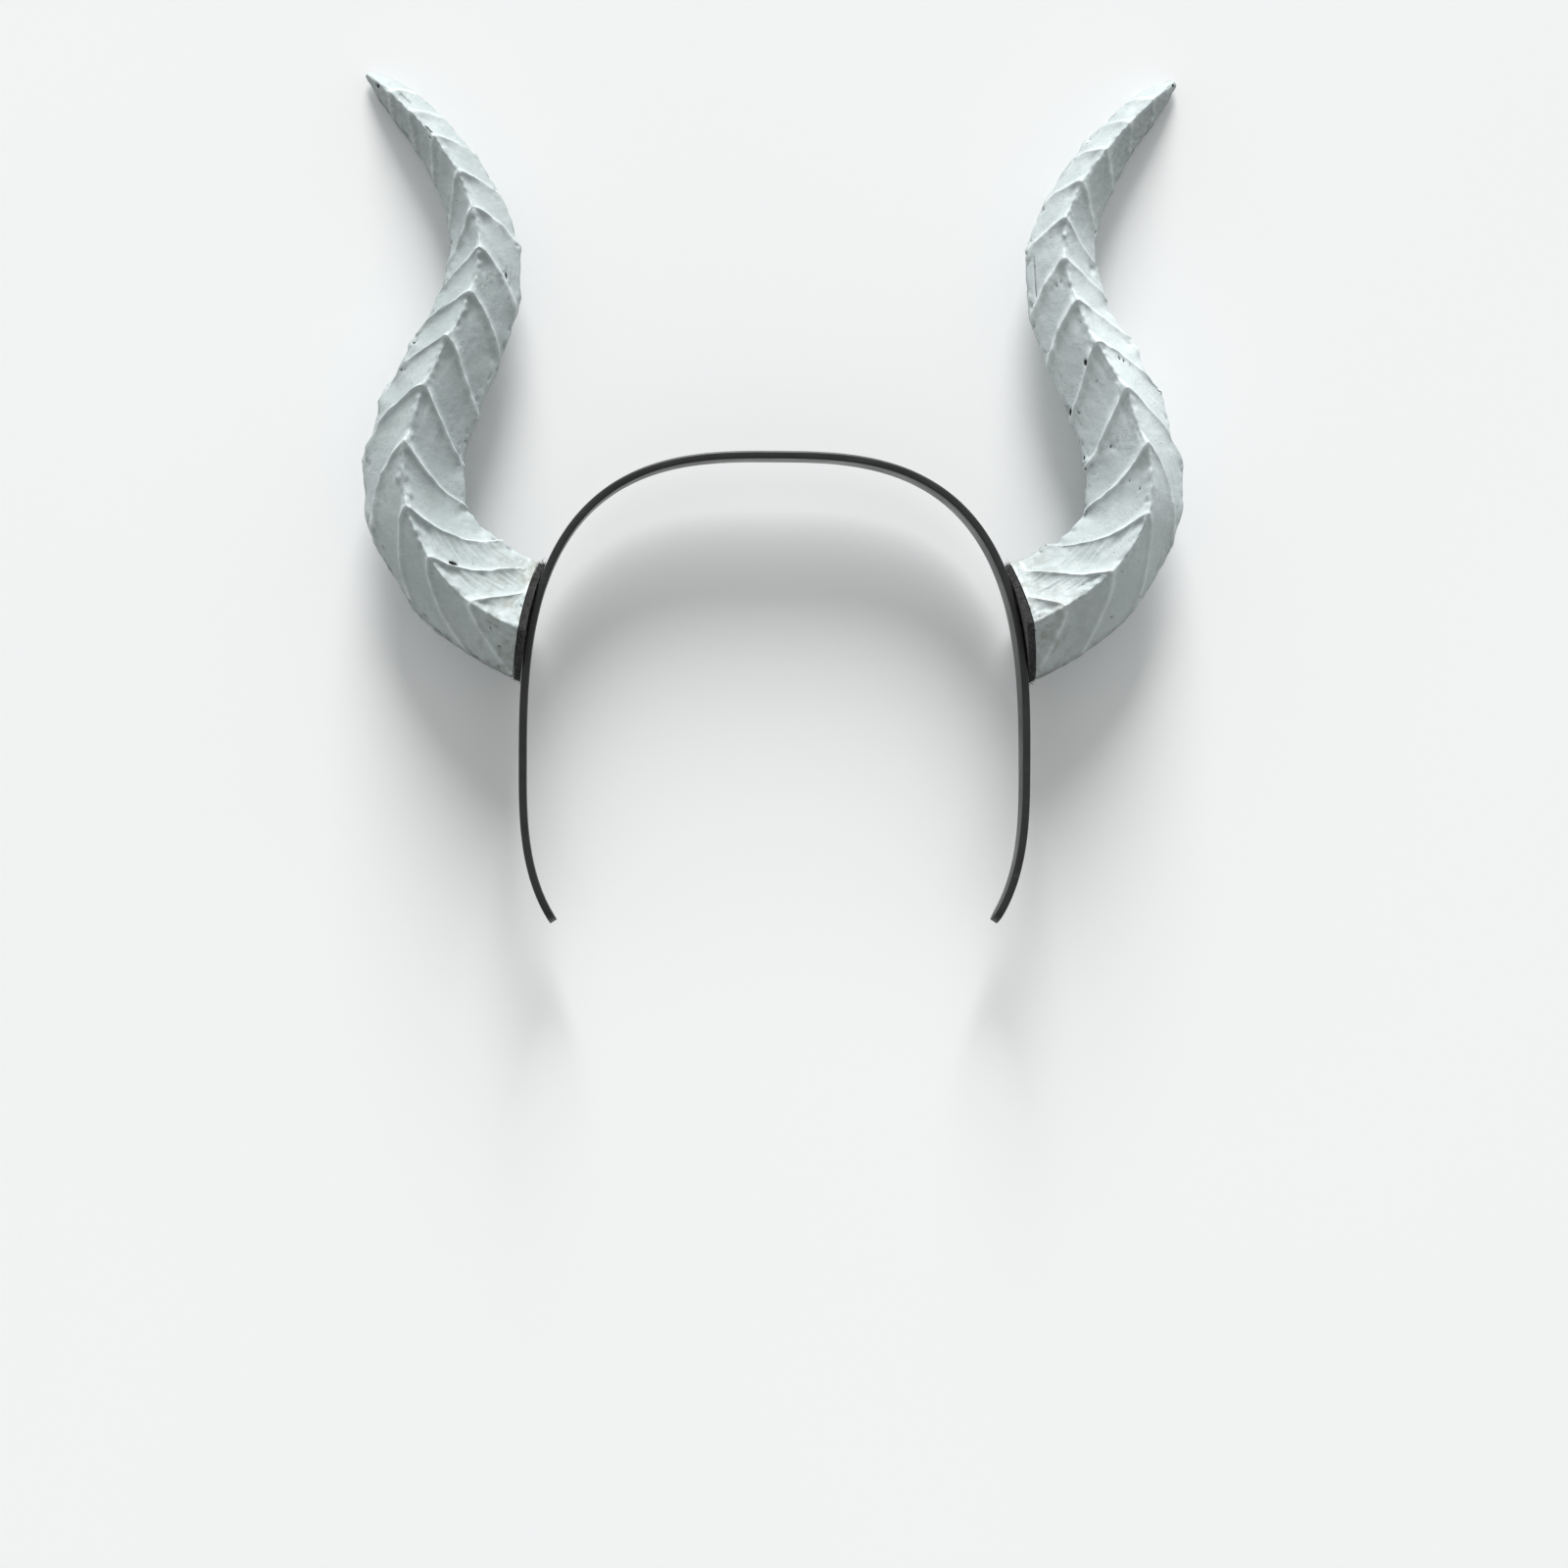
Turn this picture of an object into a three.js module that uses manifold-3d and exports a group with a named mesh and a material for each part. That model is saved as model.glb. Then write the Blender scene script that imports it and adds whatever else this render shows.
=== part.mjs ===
// A horn headband: a plain hoop that carries two ribbed, S-curved horns on felt pads.
// Units are millimetres. It lies on its back: X runs across the head, Y up the head and
// Z out of the face. The floor is Z = 0 and the origin is under the middle of the whole.
// Left and right are as seen from the front.

import * as THREE from 'three';
import { mergeVertices } from 'three/addons/utils/BufferGeometryUtils.js';
import Module from 'manifold-3d';

const wasm = await Module();
wasm.setup();

// Kept between two pieces that touch
const FIT_GAP = 0.3;

// The hoop follows a superellipse about its widest level, which lies below the horns' feet. It
// rises from there to the crown, and below it ends before the curve has fallen all the way.
const HOOP_LEVEL_Y = -45;
const HOOP_HALF_SPAN = 76.8;
const HOOP_RISE = 95;
const HOOP_FALL = 70;
const HOOP_POWER = 2.9;
const HOOP_END_ANGLE = THREE.MathUtils.degToRad(-35);
const HOOP_THICKNESS = 2.4;
const HOOP_CHAMFER = 0.5;

// Front to back it narrows to each end, which is round, with rows at these degrees of the turn
const HOOP_WIDTH = 15;
const HOOP_END_WIDTH = 9;
const HOOP_TAPER_RUN = 90;
const HOOP_END_TURNS = [20, 38, 56, 73];
const HOOP_ROWS = 64;
const HOOP_MEASURE_STEPS = 800;

// Felt pads between the hoop and the horns' feet
const PAD_THICKNESS = 2;

// The horn's centre line is measured from a root inside the hoop. The horn starts a little before
// it, so that the pad cuts its foot, and leans back so far that foot and tip touch the same floor.
const HORN_ROOT_X = 69.2;
const HORN_ROOT_Y = -2.9;
const HORN_START = -10;
const HORN_LENGTH = 207;
const HORN_TIP_LEAN = 14.9;
const HORN_LEAN_POWER = 3;

// Sections along the horn: distance along its centre line, which way it runs there (degrees up
// from X), width and depth between the rings, and how far the ridge lies from the middle of the
// width, towards the head.
const SECTIONS = [
  { along: 0, heading: 19.5, width: 36.2, depth: 34.6, ridge: -3.0 },
  { along: 26, heading: 35.1, width: 33.2, depth: 32.0, ridge: -3.0 },
  { along: 52, heading: 70.1, width: 29.4, depth: 28.6, ridge: -2.6 },
  { along: 78, heading: 107.5, width: 28.2, depth: 27.0, ridge: -3.3 },
  { along: 104, heading: 119.1, width: 26.2, depth: 25.0, ridge: -3.0 },
  { along: 130, heading: 100.0, width: 22.4, depth: 21.4, ridge: -2.0 },
  { along: 154, heading: 66.2, width: 17.6, depth: 16.8, ridge: 0.6 },
  { along: 187, heading: 48.3, width: 11.4, depth: 10.8, ridge: 1.0 },
  { along: 201, heading: 40.8, width: 7.0, depth: 6.6, ridge: 0.5 },
  { along: HORN_LENGTH, heading: 37.5, width: 2.4, depth: 2.4, ridge: 0.0 },
];

// Rings round the horn, each a chevron: its apex on the ridge points at the tip and its arms sweep
// back to the outer and inner edges. Its lip stands proud, with a height of its own at the outer
// edge, and drops to the next ring's foot over a short run that widens there to a shoulder.
const RINGS = [
  { apex: 21.0, outerSweep: 16.0, innerSweep: 21.0, lip: 0.8, outerLip: 0.4, shoulder: 2 },
  { apex: 38.4, outerSweep: 18.7, innerSweep: 27.0, lip: 1.2, outerLip: 0.5, shoulder: 2 },
  { apex: 55.9, outerSweep: 18.6, innerSweep: 27.0, lip: 1.3, outerLip: 0.6, shoulder: 3 },
  { apex: 75.4, outerSweep: 19.2, innerSweep: 23.5, lip: 1.4, outerLip: 1.0, shoulder: 5 },
  { apex: 92.9, outerSweep: 16.4, innerSweep: 20.0, lip: 1.4, outerLip: 1.4, shoulder: 7 },
  { apex: 109.2, outerSweep: 14.2, innerSweep: 17.0, lip: 1.3, outerLip: 1.5, shoulder: 7 },
  { apex: 124.9, outerSweep: 13.1, innerSweep: 14.2, lip: 1.2, outerLip: 1.2, shoulder: 6 },
  { apex: 138.1, outerSweep: 11.7, innerSweep: 13.5, lip: 1.1, outerLip: 0.9, shoulder: 3 },
  { apex: 151.4, outerSweep: 12.8, innerSweep: 10.3, lip: 1.0, outerLip: 1.0, shoulder: 3 },
  { apex: 164.1, outerSweep: 10.1, innerSweep: 9.6, lip: 0.9, outerLip: 0.8, shoulder: 2 },
  { apex: 177.3, outerSweep: 7.9, innerSweep: 8.3, lip: 0.7, outerLip: 0.6, shoulder: 2 },
  { apex: 187.9, outerSweep: 6.0, innerSweep: 5.5, lip: 0.5, outerLip: 0.5, shoulder: 1 },
  { apex: 198.5, outerSweep: 4.5, innerSweep: 4.5, lip: 0.4, outerLip: 0.4, shoulder: 1 },
];

// A section is a diamond with bowed flanks and a flat along each edge, as parts of its half size
const FLANK_STEPS = 4;
const FLANK_BOW = 0.07;
const EDGE_FLAT = 0.13;

// Between rings the wall flares towards the next lip
const SEGMENT_STOPS = [0, 0.4, 0.75, 1];
const FLARE_POWER = 1.6;
const LIP_RUN = 1.0;
const TIP_STOPS = [0, 0.5, 1];

const hornPaint = new THREE.MeshStandardMaterial({ color: 0xd3dedc, roughness: 0.5, metalness: 0 });
const hoopPlastic = new THREE.MeshStandardMaterial({ color: 0x141414, roughness: 0.45, metalness: 0 });
const padFelt = new THREE.MeshStandardMaterial({ color: 0x1b1b1d, roughness: 0.95, metalness: 0 });

// The middle line of the hoop, from its right end over the crown to its left end
class HoopCurve extends THREE.Curve {
  getPoint(t) {
    const angle = THREE.MathUtils.lerp(HOOP_END_ANGLE, Math.PI - HOOP_END_ANGLE, t);
    const across = Math.abs(Math.cos(angle)) / HOOP_HALF_SPAN;
    const up = Math.abs(Math.sin(angle)) / (angle > 0 && angle < Math.PI ? HOOP_RISE : HOOP_FALL);
    const reach = (across ** HOOP_POWER + up ** HOOP_POWER) ** (-1 / HOOP_POWER);
    return new THREE.Vector3(reach * Math.cos(angle), HOOP_LEVEL_Y + reach * Math.sin(angle), 0);
  }
}

const hoopCurve = new HoopCurve();
hoopCurve.arcLengthDivisions = HOOP_MEASURE_STEPS;

// A point beside the hoop's middle line, moved out from the head
function besideHoop(share, outwards) {
  const point = hoopCurve.getPointAt(share);
  const tangent = hoopCurve.getTangentAt(share);
  return new THREE.Vector3(point.x + tangent.y * outwards, point.y - tangent.x * outwards, 0);
}

// A closed skin over rows of points, each row one trip round, with flat ends
function loft(rows) {
  const around = rows[0].length;
  const indices = [];
  for (let row = 0; row + 1 < rows.length; row += 1) {
    for (let place = 0; place < around; place += 1) {
      const next = (place + 1) % around;
      const here = row * around;
      const above = here + around;
      indices.push(here + place, here + next, above + next);
      indices.push(here + place, above + next, above + place);
    }
  }
  const lastRow = (rows.length - 1) * around;
  for (let place = 1; place + 1 < around; place += 1) {
    indices.push(0, place + 1, place);
    indices.push(lastRow, lastRow + place, lastRow + place + 1);
  }
  const geometry = new THREE.BufferGeometry().setFromPoints(rows.flat());
  geometry.setIndex(indices);
  return geometry;
}

// A closed mesh as a solid that can be cut
function toSolid(geometry) {
  const bare = geometry.clone();
  bare.deleteAttribute('normal');
  bare.deleteAttribute('uv');
  const merged = mergeVertices(bare);
  return new wasm.Manifold(new wasm.Mesh({
    numProp: 3,
    vertProperties: new Float32Array(merged.attributes.position.array),
    triVerts: new Uint32Array(merged.index.array),
  }));
}

// A cut solid as a mesh again
function toGeometry(solid) {
  const mesh = solid.getMesh();
  const geometry = new THREE.BufferGeometry();
  geometry.setAttribute('position', new THREE.BufferAttribute(mesh.vertProperties, mesh.numProp));
  geometry.setIndex(new THREE.BufferAttribute(mesh.triVerts, 1));
  return geometry;
}

// The same piece for the other side of the head
function mirrored(geometry) {
  const copy = geometry.clone().scale(-1, 1, 1);
  copy.setIndex(Array.from(copy.index.array).reverse());
  return copy;
}

// Half the hoop's width, which tapers to its ends and rounds off there
function hoopHalfWidth(fromEnd) {
  const taper = Math.min(fromEnd / HOOP_TAPER_RUN, 1);
  const half = THREE.MathUtils.lerp(HOOP_END_WIDTH, HOOP_WIDTH, taper) / 2;
  const inset = Math.max(1 - fromEnd / (HOOP_END_WIDTH / 2), 0);
  return half * Math.sqrt(1 - inset * inset);
}

// A chamfered rectangle round the hoop's middle line
function hoopSection(distance, length) {
  const halfWidth = hoopHalfWidth(Math.min(distance, length - distance));
  const halfThickness = HOOP_THICKNESS / 2;
  const shortWidth = halfWidth - HOOP_CHAMFER;
  const shortThickness = halfThickness - HOOP_CHAMFER;
  const corners = [
    [halfWidth, shortThickness],
    [shortWidth, halfThickness],
    [-shortWidth, halfThickness],
    [-halfWidth, shortThickness],
    [-halfWidth, -shortThickness],
    [-shortWidth, -halfThickness],
    [shortWidth, -halfThickness],
    [halfWidth, -shortThickness],
  ];
  return corners.map(([front, outwards]) => {
    const point = besideHoop(distance / length, outwards);
    return point.setZ(front);
  });
}

function hoopGeometry() {
  const length = hoopCurve.getLength();
  const endRadius = HOOP_END_WIDTH / 2;
  const endRows = HOOP_END_TURNS.map((turn) => endRadius * (1 - Math.cos(THREE.MathUtils.degToRad(turn))));
  const distances = [...endRows];
  for (let row = 0; row <= HOOP_ROWS; row += 1) {
    distances.push(THREE.MathUtils.lerp(endRadius, length - endRadius, row / HOOP_ROWS));
  }
  distances.push(...endRows.map((distance) => length - distance).reverse());
  return loft(distances.map((distance) => hoopSection(distance, length)));
}

// Everything within the hoop's middle line, grown outwards, as a block to cut with
function hoopCore(grownBy) {
  const outline = [];
  for (let row = 0; row <= HOOP_ROWS; row += 1) {
    const point = besideHoop(row / HOOP_ROWS, grownBy);
    outline.push(new THREE.Vector2(point.x, point.y));
  }
  const depth = 2 * SECTIONS[0].depth;
  const block = new THREE.ExtrudeGeometry(new THREE.Shape(outline), { depth, bevelEnabled: false });
  return toSolid(block.translate(0, 0, -depth / 2));
}

// One trip round a section, as stops: face is front or back, side is towards the head or away,
// and t runs from the ridge to the edge
function sectionStops() {
  const stops = [];
  for (const [face, fromSide] of [[1, 1], [-1, -1]]) {
    for (let step = -FLANK_STEPS; step <= FLANK_STEPS; step += 1) {
      const side = step < 0 ? fromSide : -fromSide;
      stops.push({ face, side, t: Math.abs(step) / FLANK_STEPS });
    }
  }
  return stops;
}

// Which stretch between two sections a distance falls in
function stretchAt(along) {
  const last = SECTIONS.length - 2;
  const found = SECTIONS.findIndex((section) => section.along > along) - 1;
  return found < -1 ? last : Math.max(found, 0);
}

// A column of the table at any distance along, on a smooth curve through its rows
function sectionValue(name, along) {
  const slopeAt = (index) => {
    const before = SECTIONS[Math.max(index - 1, 0)];
    const after = SECTIONS[Math.min(index + 1, SECTIONS.length - 1)];
    return (after[name] - before[name]) / (after.along - before.along);
  };
  const index = stretchAt(along);
  const from = SECTIONS[index];
  const to = SECTIONS[index + 1];
  const length = to.along - from.along;
  const t = Math.max(along - from.along, 0) / length;
  const rest = 1 - t;
  const ends = from[name] * (1 + 2 * t) * rest * rest + to[name] * (3 - 2 * t) * t * t;
  const slopes = slopeAt(index) * t * rest * rest - slopeAt(index + 1) * t * t * rest;
  return ends + slopes * length;
}

// Place and direction of the centre line, which runs as one arc between each two sections
function centreAt(along) {
  let x = HORN_ROOT_X;
  let y = HORN_ROOT_Y;
  let heading = THREE.MathUtils.degToRad(SECTIONS[0].heading);
  for (let index = 0; index <= stretchAt(along); index += 1) {
    const from = SECTIONS[index];
    const to = SECTIONS[index + 1];
    const run = Math.min(along, to.along) - from.along;
    const bend = THREE.MathUtils.degToRad(to.heading - from.heading) / (to.along - from.along);
    const turned = heading + bend * run;
    x += (Math.sin(turned) - Math.sin(heading)) / bend;
    y += (Math.cos(heading) - Math.cos(turned)) / bend;
    heading = turned;
  }
  return { x, y, heading };
}

// A point of the horn's wall, swollen out from the plain section
function hornPoint(stop, along, swell) {
  const centre = centreAt(along);
  const halfWidth = sectionValue('width', along) / 2;
  const halfDepth = sectionValue('depth', along) / 2;
  const ridge = sectionValue('ridge', along) / halfWidth;
  const bow = FLANK_BOW * 4 * stop.t * (1 - stop.t);
  const sideways = THREE.MathUtils.lerp(ridge, stop.side, stop.t) + stop.side * bow;
  const outwards = THREE.MathUtils.lerp(1, EDGE_FLAT, stop.t) + bow;
  const across = sideways * (halfWidth + swell);
  const lean = HORN_TIP_LEAN * (Math.max(along, 0) / HORN_LENGTH) ** HORN_LEAN_POWER;
  return new THREE.Vector3(
    centre.x - Math.sin(centre.heading) * across,
    centre.y + Math.cos(centre.heading) * across,
    stop.face * outwards * (halfDepth + swell) - lean,
  );
}

// Where a ring passes a stop: the foot of what follows it, its lip's crest and its lip's height
function ringAt(ring, stop) {
  const sweep = stop.side > 0 ? ring.innerSweep : ring.outerSweep;
  const outerShare = stop.side > 0 ? 0 : stop.t * stop.t;
  const foot = ring.apex - sweep * stop.t;
  return {
    foot,
    crest: foot - THREE.MathUtils.lerp(LIP_RUN, ring.shoulder, outerShare),
    lip: THREE.MathUtils.lerp(ring.lip, ring.outerLip, outerShare),
  };
}

// The whole horn, with rows that follow the rings, so that each lip stays crisp
function hornGeometry() {
  const stops = sectionStops();
  const rows = [];
  let feet = stops.map(() => HORN_START);
  for (const ring of RINGS) {
    const passes = stops.map((stop) => ringAt(ring, stop));
    for (const share of SEGMENT_STOPS) {
      rows.push(stops.map((stop, place) => {
        const along = THREE.MathUtils.lerp(feet[place], passes[place].crest, share);
        return hornPoint(stop, along, passes[place].lip * share ** FLARE_POWER);
      }));
    }
    feet = passes.map((pass) => pass.foot);
  }
  for (const share of TIP_STOPS) {
    const along = (place) => THREE.MathUtils.lerp(feet[place], HORN_LENGTH, share);
    rows.push(stops.map((stop, place) => hornPoint(stop, along(place), 0)));
  }
  return loft(rows);
}

function named(name, geometry, material) {
  const mesh = new THREE.Mesh(geometry, material);
  mesh.name = name;
  return mesh;
}

function buildHeadband() {
  const padInside = HOOP_THICKNESS / 2 + FIT_GAP;
  const padOutside = padInside + PAD_THICKNESS;
  const wholeHorn = toSolid(hornGeometry());
  const horn = toGeometry(wholeHorn.subtract(hoopCore(padOutside + FIT_GAP)));
  const pad = toGeometry(wholeHorn.intersect(hoopCore(padOutside)).subtract(hoopCore(padInside)));

  const assembly = new THREE.Group();
  assembly.add(named('headband', hoopGeometry(), hoopPlastic));
  assembly.add(named('horn_right', horn, hornPaint));
  assembly.add(named('horn_left', mirrored(horn), hornPaint));
  assembly.add(named('pad_right', pad, padFelt));
  assembly.add(named('pad_left', mirrored(pad), padFelt));

  const box = new THREE.Box3().setFromObject(assembly);
  const middle = box.getCenter(new THREE.Vector3());
  assembly.position.set(-middle.x, -middle.y, -box.min.z);
  return new THREE.Group().add(assembly);
}

export default buildHeadband();
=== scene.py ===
# Looks of a horn headband that lies on its back: ringed horns of painted foam, felt pads and a hoop.
import math
from collections import namedtuple

import bpy
import numpy as np
from mathutils import Matrix, Vector, noise


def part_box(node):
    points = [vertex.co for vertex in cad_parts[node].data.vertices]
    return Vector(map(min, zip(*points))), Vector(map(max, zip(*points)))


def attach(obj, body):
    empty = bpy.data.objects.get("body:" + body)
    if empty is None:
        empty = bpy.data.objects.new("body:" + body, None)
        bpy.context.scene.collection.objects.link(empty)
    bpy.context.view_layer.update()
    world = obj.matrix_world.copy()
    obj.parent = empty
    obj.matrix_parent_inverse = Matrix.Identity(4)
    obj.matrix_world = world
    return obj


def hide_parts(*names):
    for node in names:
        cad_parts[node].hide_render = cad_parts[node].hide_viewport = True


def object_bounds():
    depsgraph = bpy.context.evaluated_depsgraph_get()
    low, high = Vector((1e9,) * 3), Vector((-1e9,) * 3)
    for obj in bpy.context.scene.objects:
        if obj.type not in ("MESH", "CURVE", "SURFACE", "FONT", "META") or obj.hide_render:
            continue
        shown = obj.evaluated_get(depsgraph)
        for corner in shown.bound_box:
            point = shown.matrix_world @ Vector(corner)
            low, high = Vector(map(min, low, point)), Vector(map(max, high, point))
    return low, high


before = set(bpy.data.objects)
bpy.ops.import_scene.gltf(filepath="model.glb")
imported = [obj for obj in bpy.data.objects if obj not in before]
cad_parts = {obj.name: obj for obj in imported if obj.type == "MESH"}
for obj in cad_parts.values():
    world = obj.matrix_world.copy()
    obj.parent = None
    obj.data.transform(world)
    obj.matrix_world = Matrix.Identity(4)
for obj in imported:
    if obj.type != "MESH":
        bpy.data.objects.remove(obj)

# Lengths are millimetres until a mesh is made. Shapes have a frame of their own: X runs across, Y from
# the level of the horns' feet up to the crown, and Z from the middle of the hoop out to the front.
MM = 0.001
CAD_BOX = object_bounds()

# The hoop follows a superellipse about its widest level and narrows to its round ends
HOOP_LEVEL = -45
HOOP_HALF_SPAN = 76.8
HOOP_RISE = 95
HOOP_FALL = 70
HOOP_POWER = 2.9
HOOP_END_ANGLE = math.radians(-35)
HOOP_THICKNESS = 2.4
HOOP_WIDTH = 15
HOOP_END_WIDTH = 9
HOOP_TAPER_RUN = 90
HOOP_ROUNDING = 0.7
HOOP_CROWN = HOOP_LEVEL + HOOP_RISE + HOOP_THICKNESS / 2
HOOP_ROWS = 480
HOOP_FINENESS = 40
HOOP_CORNER_STEPS = 6
HOOP_THINNEST = 0.05

# The pads lie between the hoop and the horns' feet
FIT_GAP = 0.3
PAD_THICKNESS = 2
PAD_FUZZ = 0.3
PAD_FUZZ_GRAIN = 0.9
PAD_ROWS = 10
PAD_INSIDE = HOOP_THICKNESS / 2 + FIT_GAP
PAD_OUTSIDE = PAD_INSIDE + PAD_THICKNESS
FOOT_CLEARANCE = PAD_OUTSIDE + FIT_GAP

# Loose fibres stand out of each pad's rim, except where it meets the floor
FIBRE_COUNT = 450
FIBRE_SHORTEST = 0.5
FIBRE_LONGEST = 1.7
FIBRE_RADIUS = 0.06
FIBRE_END_SHARE = 0.4
FIBRE_SPREAD = 0.6
FIBRE_CURL = 0.35
FIBRE_STEPS = 5
FIBRE_SIDES = 3
FIBRE_LOWEST = -14

# The horn's centre line starts from a root inside the hoop and leans back towards its tip
HORN_ROOT = (69.2, -2.9)
HORN_START = -10
HORN_LENGTH = 207
HORN_TIP_LEAN = 14.9
HORN_LEAN_POWER = 3

# Sections: distance along, heading in degrees up from X, width and depth
Section = namedtuple("Section", "along heading width depth")
SECTIONS = [
    Section(0, 19.5, 36.2, 34.6),
    Section(26, 35.1, 33.2, 32.0),
    Section(52, 70.1, 29.4, 28.6),
    Section(78, 107.5, 28.2, 27.0),
    Section(104, 119.1, 26.2, 25.0),
    Section(130, 100.0, 22.4, 21.4),
    Section(154, 66.2, 17.6, 16.8),
    Section(187, 48.3, 11.4, 10.8),
    Section(201, 40.8, 7.0, 6.6),
    Section(HORN_LENGTH, 37.5, 2.4, 2.4),
]

# Rings: chevrons whose arms meet the outer and the inner edge, each with the height of its lip and
# another at the outer edge, the run there over which the lip drops, and how far its inner arm sags
Ring = namedtuple("Ring", "outer_end inner_end lip outer_lip shoulder sag")
RINGS = [
    Ring(5.0, 0.0, 0.8, 0.2, 2, 0.3),
    Ring(19.7, 11.4, 1.2, 0.2, 2, 0.35),
    Ring(37.3, 28.9, 1.3, 0.4, 3, 0.25),
    Ring(56.2, 51.9, 1.4, 1.0, 5, 0.1),
    Ring(76.5, 72.9, 1.4, 1.4, 7, 0),
    Ring(95.0, 92.2, 1.3, 1.5, 7, 0),
    Ring(111.8, 110.7, 1.2, 1.2, 6, 0),
    Ring(126.4, 124.6, 1.1, 0.9, 4, 0),
    Ring(138.6, 141.1, 1.0, 0.8, 4, 0),
    Ring(154.0, 154.5, 0.9, 0.6, 4, 0),
    Ring(169.4, 169.0, 0.7, 0.4, 3, 0),
    Ring(181.9, 182.4, 0.5, 0.3, 3, 0),
    Ring(194.0, 194.0, 0.4, 0.25, 2, 0),
]

# The two horns are cut by hand, so each ring's apex has its own place on each: the distance along,
# and how far the ridge lies from the middle of the width, towards the inner edge
Apex = namedtuple("Apex", "along ridge")
LEFT_APEXES = [
    Apex(25.0, -3.8), Apex(42.0, -2.4), Apex(58.0, -2.4), Apex(76.0, -2.7), Apex(93.5, -3.5),
    Apex(110.0, -3.6), Apex(126.0, -2.1), Apex(140.5, -1.2), Apex(153.5, -0.7), Apex(165.5, 0.3),
    Apex(179.0, -0.1), Apex(190.0, -0.6), Apex(199.5, -0.4),
]
RIGHT_APEXES = [
    Apex(20.0, -1.4), Apex(37.5, -2.0), Apex(57.5, -3.7), Apex(77.0, -3.0), Apex(94.0, -3.0),
    Apex(111.0, -1.8), Apex(125.0, -0.8), Apex(138.5, 0.7), Apex(150.5, 1.9), Apex(163.0, 1.8),
    Apex(176.0, 0.7), Apex(188.0, 0.2), Apex(199.0, 0.1),
]

# A section is a diamond with bowed flanks and a flat along each edge, as parts of its half size.
# Towards the tip its front stands out more
FLANK_BOW = 0.02
EDGE_FLAT = 0.13
TIP_LIFT = 0.2
TIP_LIFT_START = 120
TIP_LIFT_RUN = 60

# How finely the horn is made, with rows that crowd towards the lips, and how far its corners are rounded
FLANK_STEPS = 54
EDGE_STEPS = 8
BODY_STEP = 0.7
LIP_CROWDING = 1.6
LIP_STEPS = 8
TIP_STEPS = 10
CAP_STEPS = 12
TIP_DOME = 0.8
TIP_DOME_TURNS = np.radians((25, 50, 75))
FOOT_FURTHEST = 40
FOOT_TRIES = 400
FOOT_SEARCH = np.linspace(HORN_START, FOOT_FURTHEST, FOOT_TRIES)
SHORTEST_RUN = 0.2
SHORTEST_NORMAL = 1e-9
CORNER_ROUNDING = 0.45
SMOOTH_ANGLE = math.radians(60)

# From a ring's foot the wall flares slowly and then fast up to a beaded lip
FLARE_EARLY = 0.15
FLARE_LATE_POWER = 3.5
BEAD_SHARE = 0.28
BEAD_HALF_WIDTH = 0.8
BEAD_END_POWER = 6

# Past the lip it drops to the next ring's foot, more gently on the ridge
DROP_RUN = 2.9
DROP_HALF_SHARE = 0.5
RIDGE_DROP_RUN = 2.0

# Lips lie a little short of the chevron's own line. They are blunt at the apex, higher on the
# flanks, lower at the inner edge and uneven all along
LIP_RUN = 1.0
APEX_BLUNTNESS = 0.1
FLANK_LIP_GAIN = 0.5
FLANK_LIP_POWER = 4
INNER_LIP_LOSS = 0.5
LIP_WANDER = 0.45
LIP_WANDER_GRAIN = 6
LIP_UNEVEN = 0.6
LIP_UNEVEN_GRAIN = 3.5
LIP_FADE = 4

# Between two lips a spine runs along the ridge, with a notch on its inner side under the next lip
SPINE_HEIGHT = 0.45
SPINE_HALF_WIDTH = 1.4
SPINE_START = 0.25
SPINE_END_POWER = 5
NOTCH_DEPTH = 0.75
NOTCH_BELOW_LIP = 4.0
NOTCH_LENGTH = 3.6
NOTCH_INWARDS = 2.0
NOTCH_HALF_WIDTH = 1.6

# Carving strokes, on two rings near the foot
STROKE_WIDTH = 0.8
STROKE_LENGTH = 9
STROKE_HEIGHT = 0.45
STROKE_RINGS = (1, 2)

# Unevenness of the cast: lumps as grain and height, rougher edges and ridges, and the mould's seam
LUMPS = ((16, 0.35), (5, 0.16), (1.8, 0.07))
EDGE_LUMP_GRAIN = 4
EDGE_LUMP_HEIGHT = 0.25
EDGE_LUMP_POWER = 8
CHIP_GRAIN = 1.7
CHIP_LEVEL = 0.25
CHIP_DEPTH = 2.0
RIDGE_LUMP_GRAIN = 1.8
RIDGE_LUMP_HEIGHT = 0.6
RIDGE_LUMP_SHARE = 0.09
SEAM_HEIGHT = 0.12
SEAM_HALF_WIDTH = 0.25

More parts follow.
